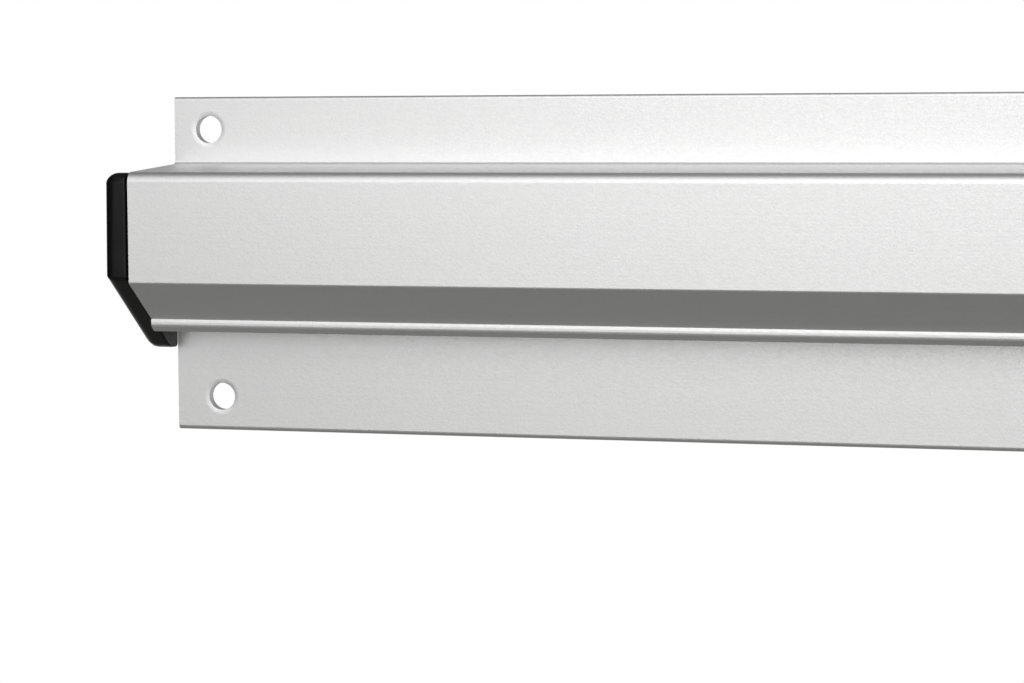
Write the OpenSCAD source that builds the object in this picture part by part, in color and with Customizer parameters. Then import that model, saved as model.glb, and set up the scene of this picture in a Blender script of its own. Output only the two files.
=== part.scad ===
// Order ticket rail: an aluminium wall profile with a hood that holds a row of glass balls.
// A ball that is lifted along the hood's slope rolls back towards the plate by its own weight,
// and so grips what was pushed up through the mouth between the plate and the lip.
// Frame: X along the rail, Y into the wall, Z up. Origin: middle of the plate's rear face.
// The cross-section is drawn in u and z, where u is the distance in front of the plate.

/* [Back plate] */
// Length of the rail between its sawn ends
rail_len = 300; // [200:10:600]
// Height of the back plate
plate_h = 60; // [56:1:80]
// Thickness of the back plate
plate_t = 2; // [1.5:0.1:3]
// Radius of the back plate's long front edges
plate_edge_r = 0.6; // [0.2:0.1:1]

/* [Hood] */
// Depth of the hood in front of the plate
hood_d = 22; // [20.5:0.5:26]
// Thickness of the hood's walls
hood_wall = 2; // [1.6:0.1:2.4]
// Drop from the plate's upper edge to the hood's top, measured at the plate
hood_drop = 11.9; // [10:0.1:14]
// Fall of the hood's top towards the front, in degrees
top_fall = 3; // [0:0.2:6]
// Height of the hood's front face
front_h = 19.2; // [17:0.1:24]
// Radius of the hood's upper front edge
front_r = 1.8; // [0.6:0.1:2]
// Radius of the hood's lower front edge
fold_r = 0.55; // [0.2:0.05:1]
// Slope of the hood's under-face above the horizontal, in degrees
under_angle = 34.8; // [30:0.2:40]

/* [Lip] */
// Width of the mouth between the plate and the lip
mouth_w = 10.1; // [8:0.1:11]
// Thickness of the lip
lip_t = 2.2; // [1.6:0.1:2.6]
// Height of the lip below the under-face
lip_h = 2.35; // [1.8:0.05:4]
// Width of the lip's flat underside, in front of which it slants up
lip_flat = 0.9; // [0.6:0.05:1.2]
// Radius of the lip's front edge
lip_nose_r = 1; // [0.4:0.1:1.2]
// Radius of the edges of the lip's flat underside
lip_low_r = 0.3; // [0.1:0.05:0.4]
// Radius of the lip's upper rear edge, inside the hood
lip_inner_r = 0.6; // [0.2:0.1:0.8]

/* [Screw holes] */
// Diameter of the screw holes
hole_d = 4.9; // [3:0.1:6]
// Width of the shallow dish round each hole
hole_dish_w = 0.9; // [0.4:0.1:1.2]
// Depth of that dish at the hole's edge
hole_dish_h = 0.08; // [0.04:0.02:0.2]
// Distance of the upper holes from the rail's ends
upper_hole_in = 6.5; // [5:0.1:20]
// Distance of the upper holes from the plate's upper edge
upper_hole_drop = 5.8; // [5:0.1:6.5]
// Distance of the lower holes from the rail's ends
lower_hole_in = 8.4; // [5:0.1:20]
// Distance of the lower holes from the plate's lower edge
lower_hole_rise = 6.1; // [5:0.1:9]

/* [Glass balls] */
// Diameter of a ball
ball_d = 16; // [14:0.5:17]
// Least gap between neighbouring balls
ball_gap = 0.6; // [0.4:0.1:2]
// Clearance of a resting ball from the plate and the slope
seat_gap = 0.2; // [0.1:0.05:0.4]

/* [End caps] */
// Thickness of a cap outside the rail's end
cap_t = 4.8; // [4:0.1:6]
// Radius of a cap's outer edges and corners
cap_edge_r = 2; // [1:0.1:2.2]
// Radius of a cap's edges and corners beside the plate
cap_rear_r = 0.6; // [0.3:0.1:0.9]
// Distance that a cap's slope stands in from the hood's under-face at the front
cap_slope_in = 0.55; // [0:0.05:1]
// Fall of a cap's top towards the plate, in degrees
cap_top_fall = 2; // [0:0.5:4]
// Depth of a cap's foot at its lower end
foot_d = 3.5; // [3:0.1:6]
// Drop from the hood's lower front edge to a cap's foot
foot_drop = 12.7; // [11:0.1:14]
// Length of the plug that reaches into the hood
plug_len = 6; // [4:0.5:10]
// Thickness of the plug's walls
plug_wall = 1.6; // [1.2:0.1:2.4]
// Clearance of the plug inside the hood
plug_gap = 0.15; // [0.05:0.05:0.3]

/* [Hidden] */
$fn = 64;
overshoot = 1;
hood_top_z = plate_h / 2 - hood_drop;
front_top_z = top_z(hood_d, 0);
front_low_z = front_top_z - front_h;
lip_front = mouth_w + lip_t;
lip_low_z = under_z(lip_front, 0) - lip_h;
lip_cut_z = lip_low_z + (lip_t - lip_flat) * tan(under_angle);
hole_dish_r = (hole_dish_w * hole_dish_w + hole_dish_h * hole_dish_h) / (2 * hole_dish_h);
cap_rear_z = front_top_z - hood_d * tan(cap_top_fall);
cap_foot_z = front_low_z - foot_drop;
channel_len = rail_len - 2 * plug_len;
ball_count = floor(channel_len / (ball_d + ball_gap));
ball_pitch = channel_len / ball_count;
seat_reach = ball_d / 2 + seat_gap;
seat_z = under_z(seat_reach, hood_wall) + seat_reach / cos(under_angle);

// Height of the hood's top at depth u, moved inwards by an inset
function top_z(u, inset) = hood_top_z - u * tan(top_fall) - inset / cos(top_fall);

// Height of the hood's under-face at depth u, moved inwards by an inset
function under_z(u, inset) =
    front_low_z - (hood_d - u) * tan(under_angle) + inset / cos(under_angle);

// Name of a ball, counted from the left
function ball_name(i) = str("glass_ball_", i < 10 ? "0" : "", i);

// Vector of length one along v
function unit(v) = v / norm(v);

// Half of the angle at corner b, between its neighbours a and c
function half_angle(a, b, c) = acos(unit(a - b) * unit(c - b)) / 2;

// Centre of the arc of radius r that touches both sides of corner b
function arc_centre(a, b, c, r) =
    b + unit(unit(a - b) + unit(c - b)) * r / sin(half_angle(a, b, c));

// Neighbour of point i in a closed outline, a number of steps on
function step(points, i, by) = points[(i + by + len(points)) % len(points)];

// What an arc of radius r takes off the outside of corner b
module corner_off(a, b, c, r) {
    run = r / tan(half_angle(a, b, c));
    difference() {
        polygon([
            b + run * unit(a - b),
            b - run * unit(unit(a - b) + unit(c - b)),
            b + run * unit(c - b)
        ]);
        translate(arc_centre(a, b, c, r)) circle(r);
    }
}

// Outline with an arc on each corner that has a radius
module rounded(points, radii) {
    difference() {
        polygon(points);
        for (i = [0 : len(points) - 1]) {
            if (radii[i] > 0) {
                corner_off(step(points, i, -1), points[i], step(points, i, 1), radii[i]);
            }
        }
    }
}

// Cross-section in u and z, drawn out along the rail from one place to another
module along_rail(from, to) {
    translate([from, 0, 0]) rotate([90, 0, 90]) linear_extrude(to - from)
        mirror([1, 0]) translate([plate_t, 0]) children();
}

// Section of the back plate, with its long front edges rounded
module plate_section() {
    rounded(
        [[-plate_t, -plate_h / 2], [0, -plate_h / 2], [0, plate_h / 2], [-plate_t, plate_h / 2]],
        [0, plate_edge_r, plate_edge_r, 0]
    );
}

// Section of the hood: top, front, under-face and lip as one bent wall rooted in the plate
module hood_section() {
    root = -plate_t / 2;
    inner = hood_d - hood_wall;
    rounded(
        [
            [root, top_z(root, 0)],
            [hood_d, front_top_z],
            [hood_d, front_low_z],
            [lip_front, under_z(lip_front, 0)],
            [lip_front, lip_cut_z],
            [mouth_w + lip_flat, lip_low_z],
            [mouth_w, lip_low_z],
            [mouth_w, under_z(mouth_w, hood_wall)],
            [inner, under_z(inner, hood_wall)],
            [inner, top_z(inner, hood_wall)],
            [root, top_z(root, hood_wall)]
        ],
        [0, front_r, fold_r, 0, lip_nose_r, lip_low_r, lip_low_r, lip_inner_r, 0, 0, 0]
    );
}

// Screw hole along Z with its mouth at zero, in the middle of a shallow dish
module screw_hole() {
    translate([0, 0, -plate_t - overshoot]) cylinder(d = hole_d, h = plate_t + 2 * overshoot);
    rotate_extrude() difference() {
        translate([0, -hole_dish_h]) square([hole_d / 2 + hole_dish_w, hole_dish_h + overshoot]);
        translate([hole_d / 2 + hole_dish_w, -hole_dish_r]) circle(hole_dish_r);
    }
}

// Screw hole put into the back plate
module plate_hole(x, z) {
    translate([x, -plate_t, z]) rotate([90, 0, 0]) screw_hole();
}

// Aluminium extrusion: back plate and hood in one piece, with a pair of holes at each end
module rail_profile() {
    color("silver") difference() {
        union() {
            along_rail(-rail_len / 2, rail_len / 2) plate_section();
            along_rail(-rail_len / 2, rail_len / 2) hood_section();
        }
        for (side = [-1, 1]) {
            plate_hole(side * (rail_len / 2 - upper_hole_in), plate_h / 2 - upper_hole_drop);
            plate_hole(side * (rail_len / 2 - lower_hole_in), lower_hole_rise - plate_h / 2);
        }
    }
}

// Outline of a cap, which follows the hood's front and slope and runs on to a foot
function cap_outline() = [
    [0, cap_rear_z],
    [hood_d, front_top_z],
    [hood_d, under_z(hood_d, cap_slope_in)],
    [foot_d, cap_foot_z],
    [0, cap_foot_z]
];

// Outline inside the hood, with a given inset from the hood's skin and from the plate
function plug_outline(inset, rear) = [
    [rear, top_z(rear, inset)],
    [hood_d - inset, top_z(hood_d - inset, inset)],
    [hood_d - inset, under_z(hood_d - inset, inset)],
    [mouth_w, under_z(mouth_w, inset)],
    [rear, under_z(mouth_w, inset)]
];

// Outer plate of the left cap, rounded on its outer side
module cap_plate() {
    points = cap_outline();
    radii = [cap_rear_r, cap_edge_r, cap_edge_r, cap_edge_r, cap_rear_r];
    hull() for (i = [0 : len(points) - 1]) {
        r = radii[i];
        centre = arc_centre(step(points, i, -1), points[i], step(points, i, 1), r);
        translate([-rail_len / 2, -plate_t - centre[0], centre[1]]) rotate([0, -90, 0]) {
            cylinder(r = r, h = cap_t - r, $fn = 32);
            translate([0, 0, cap_t - r]) sphere(r, $fn = 32);
        }
    }
}

// Hollow plug of the left cap, rooted in the outer plate
module cap_plug() {
    skin = hood_wall + plug_gap;
    along_rail(-rail_len / 2 - cap_t / 2, plug_len - rail_len / 2) difference() {
        polygon(plug_outline(skin, plug_gap));
        polygon(plug_outline(skin + plug_wall, plug_gap + plug_wall));
    }
}

// Black moulded cap at the rail's left end
module end_cap_left() {
    color("#1b1b1b") union() {
        cap_plate();
        cap_plug();
    }
}

// Black moulded cap at the rail's right end
module end_cap_right() {
    mirror([1, 0, 0]) end_cap_left();
}

// Glass ball in its resting place between the plate and the slope
module glass_ball(i) {
    color("lightcyan")
        translate([ball_pitch * (i - 0.5) - channel_len / 2, -plate_t - seat_reach, seat_z])
        sphere(d = ball_d);
}

rail_profile();
end_cap_left();
end_cap_right();
for (i = [1 : ball_count]) glass_ball(i);
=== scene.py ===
"""Dressed model of an order ticket rail.

A satin aluminium profile is screwed to a wall. Its hood holds a row of loose glass balls, and a
black moulded cap closes each end. The model is in metres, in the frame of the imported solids:
X along the rail, Y into the wall, Z up. Sizes below are written in millimetres and degrees.
"""

import logging
import math
from collections.abc import Callable, Sequence
from dataclasses import dataclass
from enum import Enum

import bmesh
import bpy
from mathutils import Matrix, Vector


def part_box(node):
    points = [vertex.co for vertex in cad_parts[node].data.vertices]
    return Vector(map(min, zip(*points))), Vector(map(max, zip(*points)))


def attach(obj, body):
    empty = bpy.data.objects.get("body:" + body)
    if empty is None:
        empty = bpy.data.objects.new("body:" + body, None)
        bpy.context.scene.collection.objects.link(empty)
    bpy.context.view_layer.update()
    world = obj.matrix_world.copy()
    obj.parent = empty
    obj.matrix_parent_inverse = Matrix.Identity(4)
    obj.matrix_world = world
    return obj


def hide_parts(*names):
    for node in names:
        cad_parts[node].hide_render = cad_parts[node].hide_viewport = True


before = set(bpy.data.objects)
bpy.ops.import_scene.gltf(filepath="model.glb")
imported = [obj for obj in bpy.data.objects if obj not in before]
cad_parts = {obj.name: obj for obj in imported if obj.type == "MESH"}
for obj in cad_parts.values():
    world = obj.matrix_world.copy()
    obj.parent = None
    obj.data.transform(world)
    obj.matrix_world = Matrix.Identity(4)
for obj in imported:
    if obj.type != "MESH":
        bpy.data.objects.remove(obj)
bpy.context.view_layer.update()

MM = 0.001
PER_METRE = 1000.0
HALF = 0.5
RIGHT_ANGLE = 90.0
# Degrees from one point of a rounded corner to the next
ARC_STEP = 7.5
# Way from a point to its mirror image at the rail's other end, as shares of its place
TO_MIRRORED = (-2.0, 0.0, 0.0)
WHITE = (1.0, 1.0, 1.0, 1.0)
SHADER = "Principled BSDF"
RAIL_BODY = "rail"
BALL_PREFIX = "glass_ball_"
log = logging.getLogger("ticket_rail")


class Side(Enum):
    """End of the rail, as the sign of X there."""

    LEFT = -1
    RIGHT = 1


class Slot(Enum):
    """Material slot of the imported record."""

    ALUMINIUM = "natural_aluminium"
    MOULDING = "black_moulding"
    GLASS = "clear_glass"


def add_node(
    tree: bpy.types.NodeTree,
    kind: str,
    links: dict[int | str, bpy.types.NodeSocket] | None = None,
    values: dict[int | str, object] | None = None,
    **settings: object,
) -> bpy.types.Node:
    """Adds a node to a tree.

    Args:
        tree: Shader, world or geometry tree that gets the node.
        kind: Type name of the node.
        links: Sources that are linked into its inputs, by name or number.
        values: Constants that are set on its inputs, by name or number.
        settings: Properties of the node itself.

    Returns:
        The new node.
    """
    node = tree.nodes.new(kind)
    for name, setting in settings.items():
        setattr(node, name, setting)
    for socket, value in (values or {}).items():
        node.inputs[socket].default_value = value
    for socket, source in (links or {}).items():
        tree.links.new(source, node.inputs[socket])
    return node


def linear(hex_colour: str) -> tuple[float, float, float, float]:
    """Turns an sRGB hex colour into a linear one.

    Args:
        hex_colour: Colour such as "#D0D0D2".

    Returns:
        Linear red, green, blue and an alpha of one.
    """
    toe, slope, offset, power, full = 0.04045, 12.92, 0.055, 2.4, 255
    shares = [level / full for level in bytes.fromhex(hex_colour.lstrip("#"))]
    red, green, blue = [
        s / slope if s <= toe else ((s + offset) / (1 + offset)) ** power for s in shares
    ]
    return red, green, blue, 1.0


def baked(obj: bpy.types.Object) -> bpy.types.Mesh:
    """Turns an object with its modifiers into a plain mesh, and removes the object.

    Args:
        obj: Object that carries the modifiers.

    Returns:
        The evaluated mesh.
    """
    graph = bpy.context.evaluated_depsgraph_get()
    mesh = bpy.data.meshes.new_from_object(
        obj.evaluated_get(graph), preserve_all_data_layers=True, depsgraph=graph
    )
    bpy.data.objects.remove(obj)
    return mesh


def carrier(mesh: bpy.types.Mesh) -> bpy.types.Object:
    """Links an object that carries a mesh while its modifiers are evaluated.

    Args:
        mesh: Mesh that the modifiers start from.

    Returns:
        The linked object.
    """
    obj = bpy.data.objects.new(mesh.name, mesh)
    bpy.context.scene.collection.objects.link(obj)
    return obj


def shaded(mesh: bpy.types.Mesh, sharp_angle: float) -> bpy.types.Mesh:
    """Shades a mesh smooth, keeps its sharp edges and lets large faces rule the normals.

    Args:
        mesh: Mesh with its faces in place.
        sharp_angle: Angle in degrees above which an edge stays sharp.

    Returns:
        The mesh with its normals set.
    """
    mesh.shade_smooth()
    mesh.set_sharp_from_angle(angle=math.radians(sharp_angle))
    obj = carrier(mesh)
    weigh = obj.modifiers.new("weigh", "WEIGHTED_NORMAL")
    weigh.keep_sharp = True
    return baked(obj)


def seat(
    name: str, mesh: bpy.types.Mesh, body: str, nodes: Sequence[str]
) -> bpy.types.Object:
    """Puts a finished mesh into the scene as a piece that stands for solids of the frame.

    Args:
        name: Name of the piece.
        mesh: Finished mesh, with its place in its vertices.
        body: Body that the piece moves with.
        nodes: Solids that the piece stands for.

    Returns:
        The piece.
    """
    mesh.name = name
    piece = carrier(mesh)
    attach(piece, body)
    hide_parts(*nodes)
    log.info("%s: %d faces, rides on %s", name, len(mesh.polygons), body)
    return piece


class ShapeTree:
    """Geometry Nodes tree with named inputs."""

    def __init__(self, name: str, inputs: dict[str, str]) -> None:
        """Starts the tree.

        Args:
            name: Name of the tree.
            inputs: Socket type of each input, by the input's name.
        """
        self.tree = bpy.data.node_groups.new(name, "GeometryNodeTree")
        sockets = self.tree.interface
        sockets.new_socket("Geometry", in_out="OUTPUT", socket_type="NodeSocketGeometry")
        sockets.new_socket("Geometry", in_out="INPUT", socket_type="NodeSocketGeometry")
        self.identifiers = {
            label: sockets.new_socket(label, in_out="INPUT", socket_type=kind).identifier
            for label, kind in inputs.items()
        }
        self.given = add_node(self.tree, "NodeGroupInput").outputs

    def add(
        self,
        kind: str,
        links: dict[int | str, bpy.types.NodeSocket] | None = None,
        values: dict[int | str, object] | None = None,
        **settings: object,
    ) -> bpy.types.Node:
        """Adds a node to this tree, as add_node does."""
        return add_node(self.tree, kind, links, values, **settings)

    def close(self, shape: bpy.types.NodeSocket) -> None:
        """Ends the tree with real geometry in the material that is given.

        Args:
            shape: Socket that gives the shape.
        """
        real = self.add("GeometryNodeRealizeInstances", {"Geometry": shape})
        worn = self.add(
            "GeometryNodeSetMaterial",
            {"Geometry": real.outputs[0], "Material": self.given["Material"]},
        )
        self.add("NodeGroupOutput", {0: worn.outputs[0]})

    def attach(self, obj: bpy.types.Object, values: dict[str, object]) -> None:
        """Adds the tree to an object as a modifier.

        Args:
            obj: Object that carries the modifier.
            values: Value of each input, by the input's name.
        """
        modifier = obj.modifiers.new(self.tree.name, "NODES")
        modifier.node_group = self.tree
        for label, value in values.items():
            modifier[self.identifiers[label]] = value


@dataclass(frozen=True)
class Finish:
    """Finish whose pattern shifts its colour from a low to a high tone and raises its surface.

    A pattern's layers are the finer copies that lie over it, and its fineness is how much each of
    them counts against the one before.
    """

    name: str
    low: str
    high: str

    def start(self, constants: dict[str, float]) -> bpy.types.Material:
        """Starts the material.

        Args:
            constants: Values that are the same all over the surface, by the shader's socket.

        Returns:
            The material, with its shader.
        """
        made = bpy.data.materials.new(self.name)
        made.use_nodes = True
        for socket, value in constants.items():
            made.node_tree.nodes[SHADER].inputs[socket].default_value = value
        return made

    def dress(
        self,
        tree: bpy.types.NodeTree,
        tone: bpy.types.NodeSocket,
        *reliefs: tuple[bpy.types.NodeSocket, float],
    ) -> None:
        """Gives the shader its colour and relief.

        Args:
            tree: Tree of the material.
            tone: Pattern that shifts the colour.
            reliefs: Patterns that raise the surface, the broadest first, each with its height.
        """
        colour = add_node(
            tree,
            "ShaderNodeMix",
            {"Factor": tone},
            {"A": linear(self.low), "B": linear(self.high)},
            data_type="RGBA",
        )
        normal: dict[int | str, bpy.types.NodeSocket] = {}
        for pattern, height in reliefs:
            raised = add_node(
                tree,
                "ShaderNodeBump",
                {"Height": pattern, **normal},
                {"Distance": height * MM, "Strength": 1.0},
            )
            normal["Normal"] = raised.outputs[0]
        for socket, source in {"Base Color": colour.outputs["Result"], **normal}.items():
            tree.links.new(source, tree.nodes[SHADER].inputs[socket])


@dataclass(frozen=True)
class SatinAluminium(Finish):
    """Extruded aluminium, etched to a satin and anodised in its natural colour.

    The etch leaves an even, soft gloss with a fine grain. The die leaves faint lines along the
    rail, which show as slightly lighter and darker streaks.
    """

    name: str = "satin anodised aluminium"
    low: str = "#E8E8E8"
    high: str = "#EEEEEE"
    roughness: float = 0.46
    roughness_spread: float = 0.1
    relief: float = 0.022
    # Real die lines lie about 0.1 mm apart, and are drawn coarser so that they show
    line_gap: float = 0.45
    line_length: float = 45.0
    line_layers: float = 3.0
    line_fineness: float = 0.6
    # The etched grain is about 0.05 mm wide, and is drawn coarser so that it shows
    grain: float = 0.36
    grain_layers: float = 2.0
    grain_fineness: float = 0.7
    grain_over_lines: float = 0.8
    tone_from: float = 0.35
    tone_to: float = 0.65
    gloss_from: float = 0.3
    gloss_to: float = 0.7

    def material(self) -> bpy.types.Material:
        """Builds the material.

        Returns:
            The material.
        """
        made = self.start({"Metallic": 1.0})
        tree = made.node_tree
        place = add_node(tree, "ShaderNodeTexCoord").outputs["Object"]
        across = PER_METRE / self.line_gap
        along = PER_METRE / self.line_length
        drawn = add_node(
            tree, "ShaderNodeMapping", {"Vector": place}, {"Scale": (along, across, across)}
        )
        lines, grain = (
            add_node(
                tree,
                "ShaderNodeTexNoise",
                {"Vector": source},
                {"Scale": scale, "Detail": layers, "Roughness": fineness},
            ).outputs["Fac"]
            for source, scale, layers, fineness in (
                (drawn.outputs[0], 1.0, self.line_layers, self.line_fineness),
                (place, PER_METRE / self.grain, self.grain_layers, self.grain_fineness),
            )
        )
        both = add_node(
            tree, "ShaderNodeMix", {"A": lines, "B": grain}, {"Factor": self.grain_over_lines}
        ).outputs[0]
        tone = add_node(
            tree,
            "ShaderNodeMapRange",
            {"Value": both},
            {"From Min": self.tone_from, "From Max": self.tone_to},
        )
        gloss = add_node(
            tree,
            "ShaderNodeMapRange",
            {"Value": grain},
            {
                "From Min": self.gloss_from,
                "From Max": self.gloss_to,
                "To Min": self.roughness - self.roughness_spread / 2,
                "To Max": self.roughness + self.roughness_spread / 2,
            },
        )
        tree.links.new(gloss.outputs[0], tree.nodes[SHADER].inputs["Roughness"])
        self.dress(tree, tone.outputs[0], (both, self.relief))
        return made


@dataclass(frozen=True)
class CutAluminium(Finish):
    """Aluminium on sawn ends and in punched holes, duller than the skin, with tool marks."""

    name: str = "cut aluminium"
    low: str = "#CFCFD1"
    high: str = "#E2E2E4"
    roughness: float = 0.5
    relief: float = 0.01
    # Saw and shear marks are about 0.1 mm apart, and are drawn coarser so that they show
    mark_gap: float = 0.3
    mark_layers: float = 2.0
    mark_fineness: float = 0.6

    def material(self) -> bpy.types.Material:
        """Builds the material.

        Returns:
            The material.
        """
        made = self.start({"Metallic": 1.0, "Roughness": self.roughness})
        tree = made.node_tree
        marks = add_node(
            tree,
            "ShaderNodeTexNoise",
            {"Vector": add_node(tree, "ShaderNodeTexCoord").outputs["Object"]},
            {
                "Scale": PER_METRE / self.mark_gap,
                "Detail": self.mark_layers,
                "Roughness": self.mark_fineness,
            },
        ).outputs["Fac"]
        self.dress(tree, marks, (marks, self.relief))
        return made


@dataclass(frozen=True)
class MouldedBlack(Finish):
    """Black polypropylene, moulded in a finely spark-eroded tool.

    The skin has a soft gloss, which its grain dulls a little and its slight hollows break up.
    """

    name: str = "moulded black polypropylene"
    low: str = "#0F0F0F"
    high: str = "#1A1A1A"
    roughness: float = 0.2
    specular: float = 0.2
    # Spark-eroded grain is about 0.1 mm wide, and is drawn coarser so that it shows
    grain: float = 0.35
    grain_layers: float = 2.0
    grain_fineness: float = 0.6
    relief: float = 0.003
    # The skin sinks a little as the moulding cools, in soft hollows a few millimetres across
    sink: float = 5.0
    sink_depth: float = 0.06

    def material(self) -> bpy.types.Material:
        """Builds the material.

        Returns:
            The material.
        """
        made = self.start({"Roughness": self.roughness, "Specular IOR Level": self.specular})
        tree = made.node_tree
        place = add_node(tree, "ShaderNodeTexCoord").outputs["Object"]
        grain = add_node(
            tree,
            "ShaderNodeTexNoise",
            {"Vector": place},
            {
                "Scale": PER_METRE / self.grain,
                "Detail": self.grain_layers,
                "Roughness": self.grain_fineness,
            },
        ).outputs["Fac"]
        hollows = add_node(
            tree,
            "ShaderNodeTexNoise",
            {"Vector": place},
            {"Scale": PER_METRE / self.sink, "Detail": 0.0},
        ).outputs["Fac"]
        self.dress(tree, grain, (hollows, self.sink_depth), (grain, self.relief))
        return made


@dataclass(frozen=True)
class BottleGlass(Finish):
    """Pressed soda-lime glass, clear with a green cast, whose surface is slightly wavy."""

    name: str = "clear soda-lime glass"
    low: str = "#F2FAF6"
    high: str = "#DDEFE6"
    roughness: float = 0.02
    ior: float = 1.52
    wave: float = 3.0
    relief: float = 0.01

    def material(self) -> bpy.types.Material:
        """Builds the material.

        Returns:
            The material.
        """
        made = self.start(
            {"Roughness": self.roughness, "IOR": self.ior, "Transmission Weight": 1.0}
        )
        tree = made.node_tree
        waves = add_node(
            tree,
            "ShaderNodeTexNoise",
            {"Vector": add_node(tree, "ShaderNodeTexCoord").outputs["Object"]},
            {"Scale": PER_METRE / self.wave},
        ).outputs["Fac"]
        self.dress(tree, waves, (waves, self.relief))
        return made


@dataclass(frozen=True)
class Corner:
    """Corner of a cross-section: depth in front of the plate, height and radius.

    On a cap it also has the radius of the rounding over to the outside, the radius of the inner
    edge, and the depth of the gap that is left between that edge and the rail's sawn end.
    """

    depth: float
    height: float
    radius: float
    outer_r: float = 0.0
    inner_r: float = 0.0
    gap_d: float = 0.0


@dataclass(frozen=True)
class Bend:
    """Corner of an outline, with its move for each unit of inset and the ways its arc faces."""

    corner: Corner
    at: Vector
    inward: Vector
    ways: list[Vector]

    def arc(self, inset: float) -> list[Vector]:
        """Draws the arc.

        Args:
            inset: Distance that the outline is moved inwards.

        Returns:
            The arc's points.
        """
        centre = self.at + self.inward * max(self.corner.radius, inset)
        spread = max(self.corner.radius - inset, 0.0)
        return [centre + way * spread for way in self.ways]


class RoundedOutline:
    """Closed outline that runs anticlockwise in depth and height, with an arc on each corner."""

    def __init__(self, corners: Sequence[Corner]) -> None:
        """Works out each corner's bend.

        Args:
            corners: Corners of the outline, all of them convex.
        """
        places = [Vector((c.depth, c.height)) for c in corners]
        self.bends: list[Bend] = []
        for i, corner in enumerate(corners):
            here = places[i]
            back = (places[i - 1] - here).normalized()
            onward = (places[(i + 1) % len(places)] - here).normalized()
            half = back.angle(onward) / 2
            inward = (back + onward).normalized() / math.sin(half)
            start = math.atan2(back.x, -back.y)
            turn = math.pi - 2 * half
            steps = math.ceil(math.degrees(turn) / ARC_STEP)
            angles = [start + turn * k / steps for k in range(steps + 1)]
            ways = [Vector((math.cos(a), math.sin(a))) for a in angles]
            self.bends.append(Bend(corner, here, inward, ways))


def loft(rings: Sequence[Sequence[Vector]], closed: bool) -> bmesh.types.BMesh:
    """Joins rings of points into a closed skin.

    Args:
        rings: Rings with the same number of points each.
        closed: Whether the last ring joins the first one. Otherwise both ends are filled.

    Returns:
        The skin, with its faces pointing outwards.
    """
    skin = bmesh.new()
    loops = [[skin.verts.new(p) for p in ring] for ring in rings]
    pairs = list(zip(loops, loops[1:]))
    if closed:
        pairs.append((loops[-1], loops[0]))
    for one, two in pairs:
        for k in range(len(one)):
            skin.faces.new((one[k - 1], one[k], two[k], two[k - 1]))
    if not closed:
        skin.faces.new(loops[0])
        skin.faces.new(loops[-1])
    weld = 1e-7
    bmesh.ops.remove_doubles(skin, verts=skin.verts, dist=weld)
    bmesh.ops.recalc_face_normals(skin, faces=skin.faces)
    return skin


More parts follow.
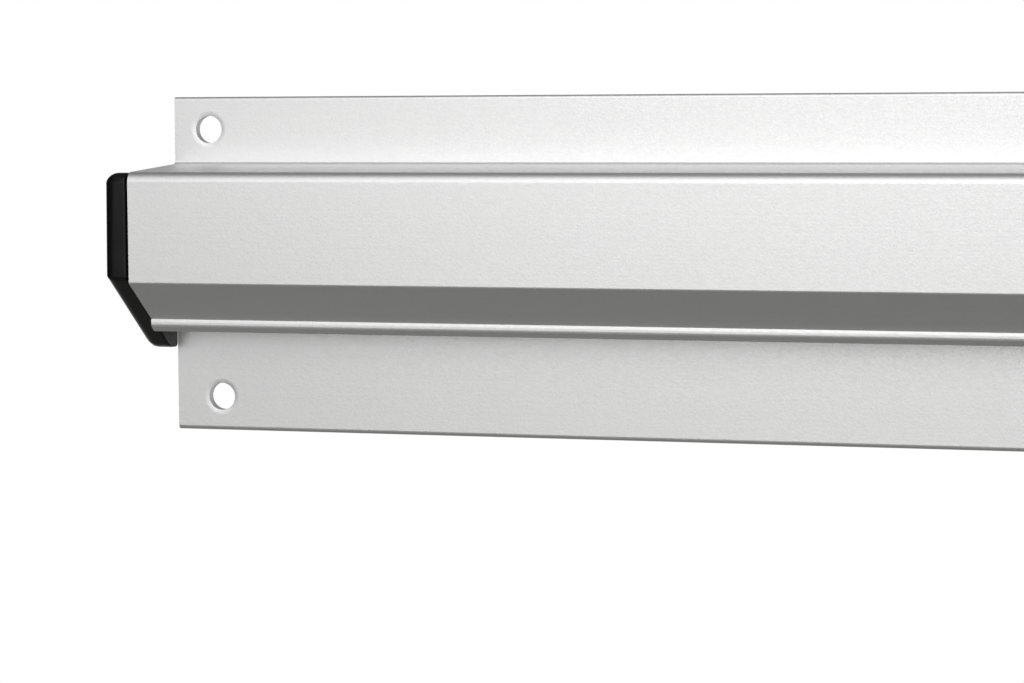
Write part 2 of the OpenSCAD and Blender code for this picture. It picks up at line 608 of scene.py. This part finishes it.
@dataclass
class RailProfile:
    """Aluminium profile: back plate, hood and lip in one section, sawn to length and punched."""

    plate_t: float = 2.0
    plate_edge_r: float = 0.6
    plate_low_r: float = 0.8
    rear_edge_r: float = 0.3
    hood_wall: float = 2.0
    hood_drop: float = 11.96
    top_fall: float = 2.84
    front_h: float = 19.2
    front_r: float = 1.8
    fold_r: float = 0.55
    under_angle: float = 34.8
    mouth_w: float = 10.1
    lip_t: float = 2.2
    lip_h: float = 2.35
    lip_flat: float = 0.9
    lip_nose_r: float = 1.0
    lip_low_r: float = 0.3
    lip_lean: float = 0.08
    lip_lean_h: float = 0.5
    lip_lean_r: float = 2.0
    lip_inner_r: float = 0.6
    lip_root_r: float = 0.1
    root_r: float = 0.6
    inner_r: float = 0.5
    saw_break: float = 0.05
    saw_segments: int = 2
    saw_angle: float = 60.0
    hole_d: float = 4.9
    dish_w: float = 0.9
    dish_angle: float = 10.0
    hole_rear_break: float = 0.05
    upper_hole_in: float = 6.5
    upper_hole_drop: float = 5.8
    lower_hole_in: float = 8.4
    lower_hole_rise: float = 6.1
    overshoot: float = 1.0
    weld: float = 0.001
    cut_reach: float = 0.01
    cut_facing: float = 0.5
    lathe_steps: int = 96
    sharp_angle: float = 40.0

    def __post_init__(self) -> None:
        """Takes the length, height and depth from the frame, in millimetres."""
        low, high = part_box("rail_profile")
        self.length = (high.x - low.x) / MM
        self.plate_h = (high.z - low.z) / MM
        self.hood_d = (high.y - low.y) / MM - self.plate_t

    def top(self, depth: float, inset: float) -> float:
        """Height of the hood's top at a depth, moved inwards by an inset."""
        fall = math.radians(self.top_fall)
        return self.plate_h / 2 - self.hood_drop - depth * math.tan(fall) - inset / math.cos(fall)

    def under(self, depth: float, inset: float) -> float:
        """Works out the height of the hood's under-face.

        Args:
            depth: Depth in front of the plate.
            inset: Distance inwards from the face.

        Returns:
            The height.
        """
        slope = math.radians(self.under_angle)
        low = self.top(self.hood_d, 0) - self.front_h
        return low - (self.hood_d - depth) * math.tan(slope) + inset / math.cos(slope)

    def section(self) -> list[Corner]:
        """Lists the corners of the cross-section.

        Returns:
            The corners, from the plate's lower rear edge round the mouth, hood and upper edge.
        """
        half = self.plate_h / 2
        wall = self.hood_wall
        inner = self.hood_d - wall
        lip_front = self.mouth_w + self.lip_t
        lip_root = lip_front - self.lip_lean
        lip_low = self.under(lip_front, 0) - self.lip_h
        lip_lean = self.under(lip_root, 0) - self.lip_lean_h
        lip_cut = (self.lip_t - self.lip_flat) * math.tan(math.radians(self.under_angle))
        return [
            Corner(-self.plate_t, -half, self.rear_edge_r),
            Corner(-self.plate_t, half, self.rear_edge_r),
            Corner(0, half, self.plate_edge_r),
            Corner(0, self.top(0, 0), self.root_r),
            Corner(self.hood_d, self.top(self.hood_d, 0), self.front_r),
            Corner(self.hood_d, self.under(self.hood_d, 0), self.fold_r),
            Corner(lip_root, self.under(lip_root, 0), self.lip_root_r),
            Corner(lip_front, lip_lean, self.lip_lean_r),
            Corner(lip_front, lip_low + lip_cut, self.lip_nose_r),
            Corner(self.mouth_w + self.lip_flat, lip_low, self.lip_low_r),
            Corner(self.mouth_w, lip_low, self.lip_low_r),
            Corner(self.mouth_w, self.under(self.mouth_w, wall), self.lip_inner_r),
            Corner(inner, self.under(inner, wall), self.inner_r),
            Corner(inner, self.top(inner, wall), self.inner_r),
            Corner(0, self.top(0, wall), self.root_r),
            Corner(0, -half, self.plate_low_r),
        ]

    def section_mesh(self) -> bpy.types.Mesh:
        """Draws the cross-section's corners as a closed line for the sweep.

        Returns:
            The line, with each corner's radius as an attribute.
        """
        corners = self.section()
        mesh = bpy.data.meshes.new("rail_section")
        places = [((c.depth + self.plate_t) * MM, -c.height * MM, 0.0) for c in corners]
        edges = [(i, (i + 1) % len(corners)) for i in range(len(corners))]
        mesh.from_pydata(places, edges, [])
        radius = mesh.attributes.new("corner_radius", "FLOAT", "POINT")
        radius.data.foreach_set("value", [c.radius * MM for c in corners])
        return mesh

    def sweep_tree(self) -> ShapeTree:
        """Builds the tree that rounds a cross-section and draws it out along the rail.

        Returns:
            The tree, with inputs for the length, the steps on each arc and the material.
        """
        made = ShapeTree(
            "extruded_profile",
            {
                "Length": "NodeSocketFloat",
                "Arc Steps": "NodeSocketInt",
                "Material": "NodeSocketMaterial",
            },
        )
        given = made.given
        line = made.add("GeometryNodeMeshToCurve", {"Mesh": given["Geometry"]})
        radius = made.add(
            "GeometryNodeInputNamedAttribute", values={"Name": "corner_radius"}, data_type="FLOAT"
        )
        rounded = made.add(
            "GeometryNodeFilletCurve",
            {
                "Curve": line.outputs[0],
                "Count": given["Arc Steps"],
                "Radius": radius.outputs["Attribute"],
            },
            {"Limit Radius": True},
            mode="POLY",
        )
        reach = made.add("ShaderNodeMath", {0: given["Length"]}, {1: HALF}, operation="MULTIPLY")
        end = made.add("ShaderNodeCombineXYZ", {"X": reach.outputs[0]})
        start = made.add(
            "ShaderNodeVectorMath", {0: end.outputs[0]}, {"Scale": -1.0}, operation="SCALE"
        )
        path = made.add(
            "GeometryNodeCurvePrimitiveLine",
            {"Start": start.outputs[0], "End": end.outputs[0]},
        )
        swept = made.add(
            "GeometryNodeCurveToMesh",
            {"Curve": path.outputs[0], "Profile Curve": rounded.outputs[0]},
            {"Fill Caps": True},
        )
        made.close(swept.outputs[0])
        return made

    def punch_mesh(self) -> bpy.types.Mesh:
        """Draws half of the punch's section, from its axis round to its axis again.

        Returns:
            An open line, with the distance from the hole's wall as X and the depth as Y.
        """
        bore = self.hole_d / 2
        angle = math.radians(self.dish_angle)
        dish_r = self.dish_w / math.sin(angle)
        steps = math.ceil(self.dish_angle / ARC_STEP)
        turns = [angle * k / steps for k in range(steps + 1)]
        dish = [
            (self.dish_w - dish_r * math.sin(t), dish_r * (1 - math.cos(t))) for t in turns
        ]
        rear = self.hole_rear_break
        beyond = self.plate_t + self.overshoot
        line = [
            (-bore, -self.overshoot),
            (self.dish_w, -self.overshoot),
            *dish,
            (0, self.plate_t - rear),
            (rear, self.plate_t),
            (rear, beyond),
            (-bore, beyond),
        ]
        mesh = bpy.data.meshes.new("hole_punch")
        edges = [(i, i + 1) for i in range(len(line) - 1)]
        mesh.from_pydata([(x * MM, y * MM, 0.0) for x, y in line], edges, [])
        return mesh

    def punch_tree(self) -> ShapeTree:
        """Builds the tree that punches a pair of holes near the top and a pair near the bottom.

        Returns:
            The tree, with inputs for the punch's section, its bore, steps and material, and for
            the place of one hole of each pair.
        """
        made = ShapeTree(
            "punched_holes",
            {
                "Punch": "NodeSocketObject",
                "Bore Radius": "NodeSocketFloat",
                "Lathe Steps": "NodeSocketInt",
                "Upper Hole": "NodeSocketVector",
                "Lower Hole": "NodeSocketVector",
                "Material": "NodeSocketMaterial",
            },
        )
        given = made.given
        drawn = made.add("GeometryNodeObjectInfo", {"Object": given["Punch"]})
        half_section = made.add("GeometryNodeMeshToCurve", {"Mesh": drawn.outputs["Geometry"]})
        ring = made.add(
            "GeometryNodeCurvePrimitiveCircle",
            {"Resolution": given["Lathe Steps"], "Radius": given["Bore Radius"]},
        )
        turned = made.add(
            "GeometryNodeCurveToMesh",
            {"Curve": ring.outputs[0], "Profile Curve": half_section.outputs[0]},
        )
        punch = made.add(
            "GeometryNodeMergeByDistance",
            {"Geometry": turned.outputs[0]},
            {"Distance": self.weld * MM},
        )
        pairs = made.add("GeometryNodeJoinGeometry")
        for label in ("Upper Hole", "Lower Hole"):
            across = made.add(
                "ShaderNodeVectorMath", {0: given[label]}, {1: TO_MIRRORED}, operation="MULTIPLY"
            )
            pair = made.add(
                "GeometryNodeMeshLine",
                {"Start Location": given[label], "Offset": across.outputs[0]},
                {"Count": len(Side)},
            )
            made.tree.links.new(pair.outputs[0], pairs.inputs[0])
        quarter = made.add("FunctionNodeEulerToRotation", values={0: (math.pi / 2, 0.0, 0.0)})
        punches = made.add(
            "GeometryNodeInstanceOnPoints",
            {
                "Points": pairs.outputs[0],
                "Instance": punch.outputs[0],
                "Rotation": quarter.outputs[0],
            },
        )
        tools = made.add("GeometryNodeRealizeInstances", {"Geometry": punches.outputs[0]})
        cut = made.add(
            "GeometryNodeMeshBoolean",
            {"Mesh 1": given["Geometry"], "Mesh 2": tools.outputs[0]},
            operation="DIFFERENCE",
            solver="MANIFOLD",
        )
        made.close(cut.outputs[0])
        return made

    def holes(self) -> tuple[Vector, Vector]:
        """Places one hole of each pair.

        Returns:
            Centre of the upper and of the lower hole at the right-hand end, in millimetres.
        """
        end = self.length / 2
        half = self.plate_h / 2
        upper = (end - self.upper_hole_in, -self.plate_t, half - self.upper_hole_drop)
        lower = (end - self.lower_hole_in, -self.plate_t, self.lower_hole_rise - half)
        return Vector(upper), Vector(lower)

    def dress_cuts(self, mesh: bpy.types.Mesh, holes: Sequence[Vector], cut: CutAluminium) -> None:
        """Gives the sawn ends and the walls of the holes their own finish.

        Args:
            mesh: Mesh of the profile, with its own finish on it.
            holes: Centre of one hole of each pair, in millimetres.
            cut: Finish of the cut metal.
        """
        mesh.materials.append(cut.material())
        end = (self.length / 2 - self.cut_reach) * MM
        bore = (self.hole_d / 2 + self.cut_reach) * MM
        for face in mesh.polygons:
            at = face.center
            spans = [math.hypot(abs(at.x) - hole.x * MM, at.z - hole.z * MM) for hole in holes]
            in_hole = min(spans) < bore and abs(face.normal.y) < self.cut_facing
            if in_hole or abs(at.x) > end:
                face.material_index = len(mesh.materials) - 1

    def build(self, finish: SatinAluminium, cut: CutAluminium) -> bpy.types.Object:
        """Builds the profile and dresses it.

        Args:
            finish: Finish of the metal.
            cut: Finish of the metal where it was sawn and punched.

        Returns:
            The piece.
        """
        material = finish.material()
        rail = carrier(self.section_mesh())
        steps = math.ceil(RIGHT_ANGLE / ARC_STEP)
        self.sweep_tree().attach(
            rail, {"Length": self.length * MM, "Arc Steps": steps, "Material": material}
        )
        saw = rail.modifiers.new("saw_break", "BEVEL")
        saw.width = self.saw_break * MM
        saw.segments = self.saw_segments
        saw.limit_method = "ANGLE"
        saw.angle_limit = math.radians(self.saw_angle)
        saw.use_clamp_overlap = False
        punch = carrier(self.punch_mesh())
        upper, lower = self.holes()
        self.punch_tree().attach(
            rail,
            {
                "Punch": punch,
                "Bore Radius": self.hole_d / 2 * MM,
                "Lathe Steps": self.lathe_steps,
                "Upper Hole": upper * MM,
                "Lower Hole": lower * MM,
                "Material": material,
            },
        )
        mesh = shaded(baked(rail), self.sharp_angle)
        bpy.data.objects.remove(punch)
        self.dress_cuts(mesh, (upper, lower), cut)
        return seat("aluminium_rail", mesh, RAIL_BODY, ["rail_profile"])


@dataclass
class EndCap:
    """Black moulded cap: a rounded outer plate with a foot, and a hollow plug inside the hood."""

    rail: RailProfile
    side: Side
    plate_t: float = 4.795
    edge_r: float = 2.65
    knee_edge_r: float = 2.25
    foot_edge_r: float = 2.4
    top_r: float = 1.8
    knee_r: float = 1.0
    foot_r: float = 5.0
    rear_r: float = 0.9
    inner_edge_r: float = 0.35
    rear_inner_r: float = 0.05
    gap_w: float = 0.4
    gap_d: float = 0.7
    slope_in: float = 0.55
    top_fall: float = 2.0
    foot_d: float = 3.5
    foot_drop: float = 12.7
    plug_len: float = 6.0
    plug_wall: float = 1.6
    plug_gap: float = 0.15
    plug_corner_r: float = 0.5
    plug_bore_r: float = 0.3
    lead_in: float = 0.8
    lead_narrowing: float = 0.4
    round_steps: int = 10
    sharp_angle: float = 40.0

    def place(self, reach: float, at: Vector) -> Vector:
        """Point of the left cap, in metres.

        Args:
            reach: Distance inwards from the rail's sawn end.
            at: Depth in front of the plate, and height.

        Returns:
            The point in the part's frame.
        """
        x = reach - self.rail.length / 2
        return Vector((x, -self.rail.plate_t - at.x, at.y)) * MM

    def outline(self) -> RoundedOutline:
        """Draws the outer plate's outline, which follows the hood and runs on to the foot.

        Returns:
            The outline.
        """
        rail = self.rail
        depth = rail.hood_d
        top = rail.top(depth, 0)
        foot = rail.under(depth, 0) - self.foot_drop
        rear_top = top - depth * math.tan(math.radians(self.top_fall))
        front_low = rail.under(depth, self.slope_in)
        return RoundedOutline([
            Corner(0, foot, self.rear_r, self.rear_r, self.rear_inner_r),
            Corner(self.foot_d, foot, self.foot_r, self.foot_edge_r, self.inner_edge_r),
            Corner(depth, front_low, self.knee_r, self.knee_edge_r, self.inner_edge_r, self.gap_d),
            Corner(depth, top, self.top_r, self.edge_r, self.inner_edge_r, self.gap_d),
            Corner(0, rear_top, self.rear_r, self.rear_r, self.rear_inner_r),
        ])

    def plug_outline(self, inset: float, rear: float, radius: float) -> RoundedOutline:
        """Draws an outline inside the hood.

        Args:
            inset: Distance inwards from the hood's skin.
            rear: Distance in front of the plate.
            radius: Radius of the corners.

        Returns:
            The outline.
        """
        rail = self.rail
        front = rail.hood_d - inset
        foot = rail.under(rail.mouth_w, inset)
        return RoundedOutline([
            Corner(rear, foot, radius),
            Corner(rail.mouth_w, foot, radius),
            Corner(front, rail.under(front, inset), radius),
            Corner(front, rail.top(front, inset), radius),
            Corner(rear, rail.top(rear, inset), radius),
        ])

    def plate_rings(self) -> list[list[Vector]]:
        """Draws the outer plate's rings, from its rounded outside over its inner edge to the gap.

        Returns:
            The rings, in metres.
        """
        bends = self.outline().bends
        quarters = [math.pi / 2 * k / self.round_steps for k in range(self.round_steps + 1)]

        def ring(step: Callable[[Corner], tuple[float, float]]) -> list[Vector]:
            """Draws one ring.

            Args:
                step: Gives the reach and the inset at a corner.

            Returns:
                The ring, in metres.
            """
            stations = [(step(bend.corner), bend) for bend in bends]
            return [
                self.place(reach, at) for (reach, inset), bend in stations for at in bend.arc(inset)
            ]

        def edge(corner: Corner) -> float:
            """Reach of the inner edge at a corner."""
            return -self.gap_w if corner.gap_d else 0.0

        def floor(corner: Corner) -> float:
            """Inset of the gap's floor at a corner."""
            return max(corner.gap_d, corner.inner_r)

        outer = [
            ring(lambda c: (
                c.outer_r * (1 - math.cos(a)) - self.plate_t,
                c.outer_r * (1 - math.sin(a)),
            ))
            for a in quarters
        ]
        inner = [
            ring(lambda c: (
                edge(c) + c.inner_r * (math.sin(a) - 1),
                c.inner_r * (1 - math.cos(a)),
            ))
            for a in quarters
        ]
        gap = [ring(lambda c: (edge(c), floor(c))), ring(lambda c: (0.0, floor(c)))]
        return outer + inner + gap

    def plug_rings(self) -> list[list[Vector]]:
        """Draws the hollow plug's rings, along its outside and back along its bore.

        Returns:
            The rings, in metres.
        """
        skin = self.rail.hood_wall + self.plug_gap
        outside = self.plug_outline(skin, self.plug_gap, self.plug_corner_r)
        bore = self.plug_outline(
            skin + self.plug_wall, self.plug_gap + self.plug_wall, self.plug_bore_r
        )
        root = -self.plate_t / 2
        stations = [
            (outside, root, 0.0),
            (outside, self.plug_len - self.lead_in, 0.0),
            (outside, self.plug_len, self.lead_narrowing),
            (bore, self.plug_len, 0.0),
            (bore, root, 0.0),
        ]
        return [
            [self.place(reach, at) for bend in shape.bends for at in bend.arc(narrowing)]
            for shape, reach, narrowing in stations
        ]

    def build(self, material: bpy.types.Material) -> bpy.types.Object:
        """Builds the cap and dresses it.

        Args:
            material: Material of the moulding.

        Returns:
            The piece.
        """
        name = self.side.name.lower()
        parts = []
        for rings, closed in ((self.plate_rings(), False), (self.plug_rings(), True)):
            skin = loft(rings, closed)
            if self.side is Side.RIGHT:
                bmesh.ops.scale(skin, vec=(-1.0, 1.0, 1.0), verts=skin.verts)
                bmesh.ops.reverse_faces(skin, faces=skin.faces)
            mesh = bpy.data.meshes.new(f"cap_shell_{name}")
            skin.to_mesh(mesh)
            skin.free()
            mesh.materials.append(material)
            parts.append(carrier(mesh))
        plate, plug = parts
        join = plate.modifiers.new("plug", "BOOLEAN")
        join.operation = "UNION"
        join.solver = "MANIFOLD"
        join.object = plug
        mesh = shaded(baked(plate), self.sharp_angle)
        bpy.data.objects.remove(plug)
        piece_name = f"black_end_cap_{name}"
        return seat(piece_name, mesh, RAIL_BODY, [f"end_cap_{name}"])


@dataclass
class GlassBalls:
    """Row of loose pressed glass balls, each with a mould seam and its own slight waviness."""

    segments: int = 64
    rings: int = 32
    seam_h: float = 0.02
    seam_w: float = 0.25
    wave_h: float = 0.03
    wave_length: float = 6.0
    seed: int = 7

    def tree(self) -> ShapeTree:
        """Builds the tree of one ball.

        Returns:
            The tree, with inputs for the ball's size, place, seam, waviness and seed.
        """
        made = ShapeTree(
            "pressed_ball",
            {
                "Diameter": "NodeSocketFloat",
                "Centre": "NodeSocketVector",
                "Segments": "NodeSocketInt",
                "Rings": "NodeSocketInt",
                "Seam Height": "NodeSocketFloat",
                "Seam Width": "NodeSocketFloat",
                "Wave Height": "NodeSocketFloat",
                "Wave Scale": "NodeSocketFloat",
                "Seed": "NodeSocketInt",
                "Material": "NodeSocketMaterial",
            },
        )
        given = made.given
        radius = made.add("ShaderNodeMath", {0: given["Diameter"]}, {1: HALF}, operation="MULTIPLY")
        inside = radius.outputs[0]
        for margin in ("Wave Height", "Seam Height"):
            inside = made.add(
                "ShaderNodeMath", {0: inside, 1: given[margin]}, operation="SUBTRACT"
            ).outputs[0]
        ball = made.add(
            "GeometryNodeMeshUVSphere",
            {"Segments": given["Segments"], "Rings": given["Rings"], "Radius": inside},
        )
        place = made.add("GeometryNodeInputPosition").outputs[0]
        height = made.add("ShaderNodeSeparateXYZ", {0: place}).outputs["Z"]
        share = made.add(
            "ShaderNodeMath", {0: height, 1: given["Seam Width"]}, operation="DIVIDE"
        ).outputs[0]
        square = made.add("ShaderNodeMath", {0: share, 1: share}, operation="MULTIPLY")
        wide = made.add("ShaderNodeMath", {0: square.outputs[0]}, {1: 1.0}, operation="ADD")
        seam = made.add(
            "ShaderNodeMath", {0: given["Seam Height"], 1: wide.outputs[0]}, operation="DIVIDE"
        )
        wave = made.add(
            "ShaderNodeTexNoise",
            {"Vector": place, "W": given["Seed"], "Scale": given["Wave Scale"]},
            {"Detail": 0.0},
            noise_dimensions="4D",
        )
        swell = made.add(
            "ShaderNodeMath",
            {0: wave.outputs["Fac"], 1: given["Wave Height"]},
            operation="MULTIPLY",
        )
        lift = made.add(
            "ShaderNodeMath", {0: seam.outputs[0], 1: swell.outputs[0]}, operation="ADD"
        )
        outwards = made.add("GeometryNodeInputNormal")
        offset = made.add(
            "ShaderNodeVectorMath",
            {0: outwards.outputs[0], "Scale": lift.outputs[0]},
            operation="SCALE",
        )
        pressed = made.add(
            "GeometryNodeSetPosition",
            {"Geometry": ball.outputs["Mesh"], "Offset": offset.outputs[0]},
        )
        turn = made.add(
            "FunctionNodeRandomValue",
            {"Seed": given["Seed"]},
            {0: (-math.pi,) * 3, 1: (math.pi,) * 3},
            data_type="FLOAT_VECTOR",
        )
        rolled = made.add("FunctionNodeEulerToRotation", {0: turn.outputs[0]})
        laid = made.add(
            "GeometryNodeTransform",
            {
                "Geometry": pressed.outputs[0],
                "Translation": given["Centre"],
                "Rotation": rolled.outputs[0],
            },
        )
        smooth = made.add("GeometryNodeSetShadeSmooth", {"Geometry": laid.outputs[0]})
        made.close(smooth.outputs[0])
        return made

    def build(self, finish: BottleGlass) -> list[bpy.types.Object]:
        """Builds each ball where its solid lies and dresses it.

        Args:
            finish: Finish of the glass.

        Returns:
            The balls, from left to right.
        """
        material = finish.material()
        tree = self.tree()
        nodes = sorted(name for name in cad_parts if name.startswith(BALL_PREFIX))
        balls = []
        for number, node in enumerate(nodes):
            low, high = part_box(node)
            ball = carrier(bpy.data.meshes.new(f"ball_seed_{number}"))
            tree.attach(
                ball,
                {
                    "Diameter": high.z - low.z,
                    "Centre": (low + high) / 2,
                    "Segments": self.segments,
                    "Rings": self.rings,
                    "Seam Height": self.seam_h * MM,
                    "Seam Width": self.seam_w * MM,
                    "Wave Height": self.wave_h * MM,
                    "Wave Scale": PER_METRE / self.wave_length,
                    "Seed": self.seed + number,
                    "Material": material,
                },
            )
            name = f"clear_{node}"
            balls.append(seat(name, baked(ball), node, [node]))
        return balls


@dataclass(frozen=True)
class Lamp:
    """Soft lamp: its name, its place, width and height in millimetres, and its power in watts."""

    name: str
    at: tuple[float, float, float]
    width: float
    height: float
    power: float


@dataclass
class Studio:
    """Plain pale floor, white surroundings, a soft lamp and the camera."""

    softbox: Lamp = Lamp(
        name="softbox", at=(-110.0, -1454.0, 740.0), width=1300.0, height=2144.0, power=10.6
    )
    floor_colour: str = "#A0A09E"
    floor_roughness: float = 0.9
    # Own light of the floor, which only the camera sees
    floor_lift: float = 0.45
    floor_centre: tuple[float, float, float] = (0.0, -3800.0, -450.0)
    floor_r: float = 5000.0
    floor_fade: float = 4000.0
    floor_sides: int = 96
    # Reflections show bright walls before and behind the rail, darker sides, a darker far left
    # and a darker ceiling. Each change runs between two shares of the way there
    room_back: float = 0.3
    room_dark: float = 0.11
    room_turn: float = 0.44
    room_to: float = 0.82
    left_dark: float = 0.05
    left_from: float = -0.95
    left_to: float = -0.45
    ceiling: float = 0.46
    ceiling_from: float = 0.1
    ceiling_to: float = 0.38
    # Light that matt surfaces get from all round
    ambient: float = 0.4
    lens: float = 94.0
    sensor: float = 36.0
    camera_at: tuple[float, float, float] = (33.88, -452.61, 26.15)
    yaw: float = 15.052
    pitch: float = 4.795
    roll: float = -0.246
    clip_start: float = 10.0

    def floor(self) -> bpy.types.Object:
        """Lays a round pale floor whose rim fades out, and which can be looked through from below.

        Returns:
            The floor.
        """
        made = bpy.data.materials.new("matt pale floor")
        made.use_nodes = True
        tree = made.node_tree
        shader = tree.nodes[SHADER]
        shader.inputs["Base Color"].default_value = linear(self.floor_colour)
        shader.inputs["Roughness"].default_value = self.floor_roughness
        place = add_node(tree, "ShaderNodeTexCoord").outputs["Object"]
        reach = add_node(tree, "ShaderNodeVectorMath", {0: place}, operation="LENGTH")
        there = add_node(
            tree,
            "ShaderNodeMapRange",
            {"Value": reach.outputs["Value"]},
            {
                "From Min": self.floor_fade * MM,
                "From Max": self.floor_r * MM,
                "To Min": 1.0,
                "To Max": 0.0,
            },
            interpolation_type="SMOOTHSTEP",
        )
        side = add_node(tree, "ShaderNodeNewGeometry").outputs["Backfacing"]
        share = add_node(
            tree,
            "ShaderNodeMath",
            {0: there.outputs[0], 1: side},
            operation="SUBTRACT",
            use_clamp=True,
        )
        tree.links.new(share.outputs[0], shader.inputs["Alpha"])
        seen = add_node(tree, "ShaderNodeLightPath").outputs["Is Camera Ray"]
        lift = add_node(
            tree, "ShaderNodeMath", {0: seen}, {1: self.floor_lift}, operation="MULTIPLY"
        )
        tree.links.new(lift.outputs[0], shader.inputs["Emission Strength"])
        shader.inputs["Emission Color"].default_value = WHITE
        disc = bmesh.new()
        bmesh.ops.create_circle(
            disc, cap_ends=True, segments=self.floor_sides, radius=self.floor_r * MM
        )
        mesh = bpy.data.meshes.new("floor")
        disc.to_mesh(mesh)
        disc.free()
        mesh.materials.append(made)
        floor = carrier(mesh)
        floor.location = Vector(self.floor_centre) * MM
        return floor

    def surroundings(self) -> None:
        """Makes the world: white to look at, with darker sides and ceiling in reflections."""
        world = bpy.data.worlds.new("studio")
        bpy.context.scene.world = world
        world.use_nodes = True
        tree = world.node_tree
        rays = add_node(tree, "ShaderNodeLightPath").outputs
        way = add_node(tree, "ShaderNodeTexCoord").outputs["Generated"]
        moved = add_node(
            tree,
            "ShaderNodeVectorMath",
            {0: way},
            {1: (0.0, -self.room_back, 0.0)},
            operation="ADD",
        )
        size = add_node(tree, "ShaderNodeVectorMath", {0: moved.outputs[0]}, operation="ABSOLUTE")
        share = add_node(tree, "ShaderNodeSeparateXYZ", {0: size.outputs[0]}).outputs
        signed = add_node(tree, "ShaderNodeSeparateXYZ", {0: way}).outputs
        facing = add_node(
            tree,
            "ShaderNodeMath",
            {0: share["X"], 2: share["Y"]},
            {1: -self.room_turn},
            operation="MULTIPLY_ADD",
        )
        walls, left, overhead = (
            add_node(
                tree,
                "ShaderNodeMapRange",
                {"Value": source},
                {"From Min": start, "From Max": end, "To Min": first, "To Max": last},
                interpolation_type="SMOOTHSTEP",
            ).outputs[0]
            for source, start, end, first, last in (
                (facing.outputs[0], -self.room_turn, self.room_to, self.room_dark, 1.0),
                (signed["X"], self.left_from, self.left_to, self.left_dark, 1.0),
                (signed["Z"], self.ceiling_from, self.ceiling_to, 1.0, self.ceiling),
            )
        )
        sides = add_node(tree, "ShaderNodeMath", {0: walls, 1: left}, operation="MULTIPLY")
        room = add_node(
            tree, "ShaderNodeMath", {0: sides.outputs[0], 1: overhead}, operation="MULTIPLY"
        )
        mirrored = add_node(
            tree,
            "ShaderNodeMath",
            {0: rays["Is Glossy Ray"], 1: rays["Is Transmission Ray"]},
            operation="MAXIMUM",
        )
        unseen = add_node(
            tree,
            "ShaderNodeMix",
            {"Factor": mirrored.outputs[0], "B": room.outputs[0]},
            {"A": self.ambient},
        )
        level = add_node(
            tree,
            "ShaderNodeMix",
            {"Factor": rays["Is Camera Ray"], "A": unseen.outputs[0]},
            {"B": 1.0},
        )
        tree.links.new(level.outputs[0], tree.nodes["Background"].inputs["Strength"])
        tree.nodes["Background"].inputs["Color"].default_value = WHITE

    def hang(self, lamp: Lamp) -> None:
        """Hangs a lamp so that it faces the rail.

        Args:
            lamp: The lamp.
        """
        light = bpy.data.lights.new(lamp.name, "AREA")
        light.shape = "RECTANGLE"
        light.size = lamp.width * MM
        light.size_y = lamp.height * MM
        light.energy = lamp.power
        obj = bpy.data.objects.new(lamp.name, light)
        obj.location = Vector(lamp.at) * MM
        obj.rotation_euler = (-obj.location).to_track_quat("-Z", "Y").to_euler()
        bpy.context.scene.collection.objects.link(obj)

    def camera(self) -> None:
        """Sets up the camera at the photograph's point of view."""
        yaw, pitch, roll = (math.radians(a) for a in (self.yaw, self.pitch, self.roll))
        up = Vector((0.0, 0.0, 1.0))
        level = Vector((-math.sin(yaw), math.cos(yaw), 0.0))
        right = Vector((math.cos(yaw), math.sin(yaw), 0.0))
        ahead = level * math.cos(pitch) - up * math.sin(pitch)
        above = up * math.cos(pitch) + level * math.sin(pitch)
        axis_x = right * math.cos(roll) + above * math.sin(roll)
        axis_y = above * math.cos(roll) - right * math.sin(roll)
        turn = Matrix((axis_x, axis_y, -ahead)).transposed()
        data = bpy.data.cameras.new("camera")
        data.lens = self.lens
        data.sensor_width = self.sensor
        data.clip_start = self.clip_start * MM
        obj = bpy.data.objects.new("camera", data)
        obj.matrix_world = Matrix.Translation(Vector(self.camera_at) * MM) @ turn.to_4x4()
        bpy.context.scene.collection.objects.link(obj)
        bpy.context.scene.camera = obj

    def build(self) -> None:
        """Sets up the camera, the surroundings, the floor and the lamp."""
        bpy.context.scene.view_settings.view_transform = "Standard"
        self.camera()
        self.surroundings()
        self.floor()
        self.hang(self.softbox)


def main() -> None:
    """Builds the studio and the pieces."""
    logging.basicConfig(level=logging.INFO, format="%(name)s %(message)s")
    Studio().build()
    rail = RailProfile()
    rail.build(SatinAluminium(), CutAluminium())
    moulding = MouldedBlack().material()
    for side in Side:
        EndCap(rail, side).build(moulding)
    GlassBalls().build(BottleGlass())


if __name__ == "__main__":
    main()
